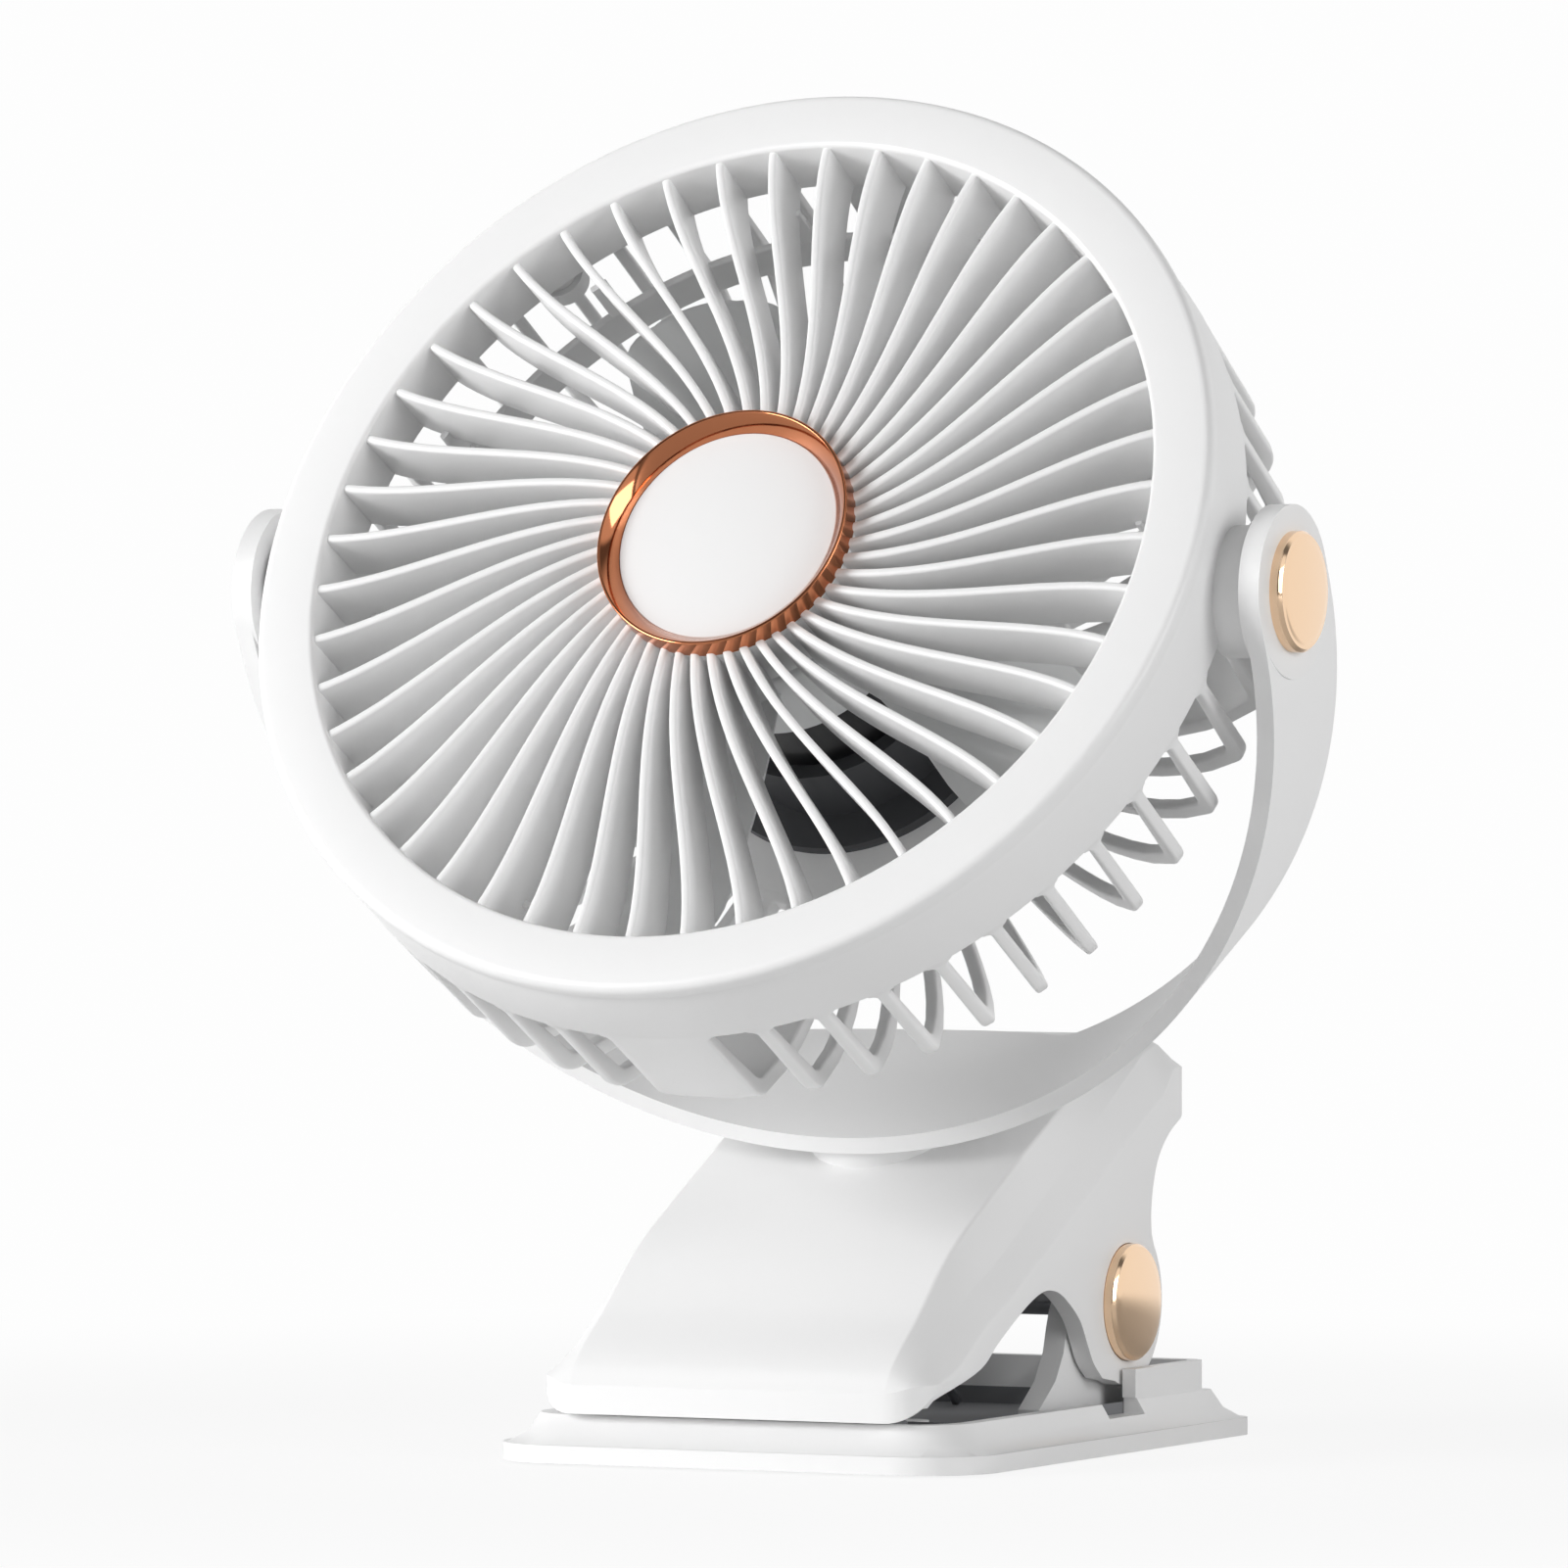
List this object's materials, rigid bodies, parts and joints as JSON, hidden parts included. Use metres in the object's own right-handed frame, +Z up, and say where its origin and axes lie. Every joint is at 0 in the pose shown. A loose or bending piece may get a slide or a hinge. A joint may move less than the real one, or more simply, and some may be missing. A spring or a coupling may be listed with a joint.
{
  "type": "clip-on fan",
  "caption": "Round fan head with swirled front vanes, tilting in a U-shaped yoke that swivels on a spring clip whose lower jaw is a flat base.",
  "frame": {"origin": "middle of the base's underside, on the surface it stands on", "axes": "+Z up, the fan faces -Y, and +X is to the right of someone looking at the fan's face"},
  "size_m": [0.188, 0.1522, 0.2214],
  "materials": {
    "white_plastic": "white ABS, moulded with a fine satin gloss",
    "blade_plastic": "white ABS, moulded, satin",
    "grey_plastic": "grey ABS, moulded",
    "black_plastic": "black nylon",
    "motor_black": "black enamelled motor can",
    "rose_gold": "rose gold plated plastic, polished",
    "grey_rubber": "moulded silicone rubber",
    "screw_steel": "zinc plated",
    "pin_steel": "turned and polished",
    "spring_steel": "drawn spring wire",
    "socket_steel": "stamped and plated",
    "battery_wrap": "foil pack in plain film",
    "board_green": "glass epoxy board with solder mask",
    "clear_lens": "clear acrylic"
  },
  "bodies": {
    "base": {"base_plate": "white_plastic", "bottom_cover": "white_plastic", "bottom_screws": "screw_steel", "foot_pad": "grey_rubber", "lower_grip_pad": "grey_rubber", "hinge_pin": "pin_steel"},
    "clamp": {"clamp_shell": "white_plastic", "clamp_underside": "white_plastic", "underside_screws": "screw_steel", "upper_grip_pad": "grey_rubber", "battery_pack": "battery_wrap", "circuit_board": "board_green", "usb_socket": "socket_steel", "power_switch": "black_plastic", "status_lens": "clear_lens", "hinge_cap_left": "rose_gold", "hinge_cap_right": "rose_gold", "clamp_spring": "spring_steel"},
    "button": {"power_button": "grey_plastic"},
    "yoke": {"yoke": "white_plastic", "swivel_post": "white_plastic", "swivel_washer": "pin_steel", "swivel_screw": "screw_steel", "tilt_cap_left": "rose_gold", "tilt_cap_right": "rose_gold"},
    "head": {"front_grille": "white_plastic", "hub_ring": "rose_gold", "hub_cap": "white_plastic", "rear_housing": "white_plastic", "housing_screws": "screw_steel", "motor": "motor_black", "motor_bracket": "grey_plastic", "motor_screws": "screw_steel", "trunnion_left": "pin_steel", "trunnion_right": "pin_steel", "friction_washers": "grey_rubber"},
    "impeller": {"impeller": "blade_plastic", "motor_shaft": "pin_steel"}
  },
  "joints": [
    {"name": "clip_opening", "type": "hinge", "parent": "base", "child": "clamp", "pos_m": [0, 0.024, 0.0238], "axis": [-1, 0, 0], "range_deg": [0, 30], "stiffness_Nm_per_rad": 1.5, "springref_deg": -28.65, "deforming": ["clamp_spring"]},
    {"name": "button_press", "type": "slide", "parent": "clamp", "child": "button", "axis": [0, -1, 0], "range_m": [0, 0.0008], "stiffness_N_per_m": 300, "springref_m": -0.001},
    {"name": "yoke_swivel", "type": "hinge", "parent": "clamp", "child": "yoke", "pos_m": [0, -0.0375, 0.1402], "axis": [0, -0.4226, 0.9063], "range_deg": [-170, 170]},
    {"name": "head_tilt", "type": "hinge", "parent": "yoke", "child": "head", "pos_m": [0, -0.0375, 0.1402], "axis": [1, 0, 0], "range_deg": [-60, 119]},
    {"name": "impeller_spin", "type": "hinge", "parent": "head", "child": "impeller", "pos_m": [0, -0.0375, 0.1402], "axis": [0, -0.8704, 0.4924], "continuous": true}
  ]
}
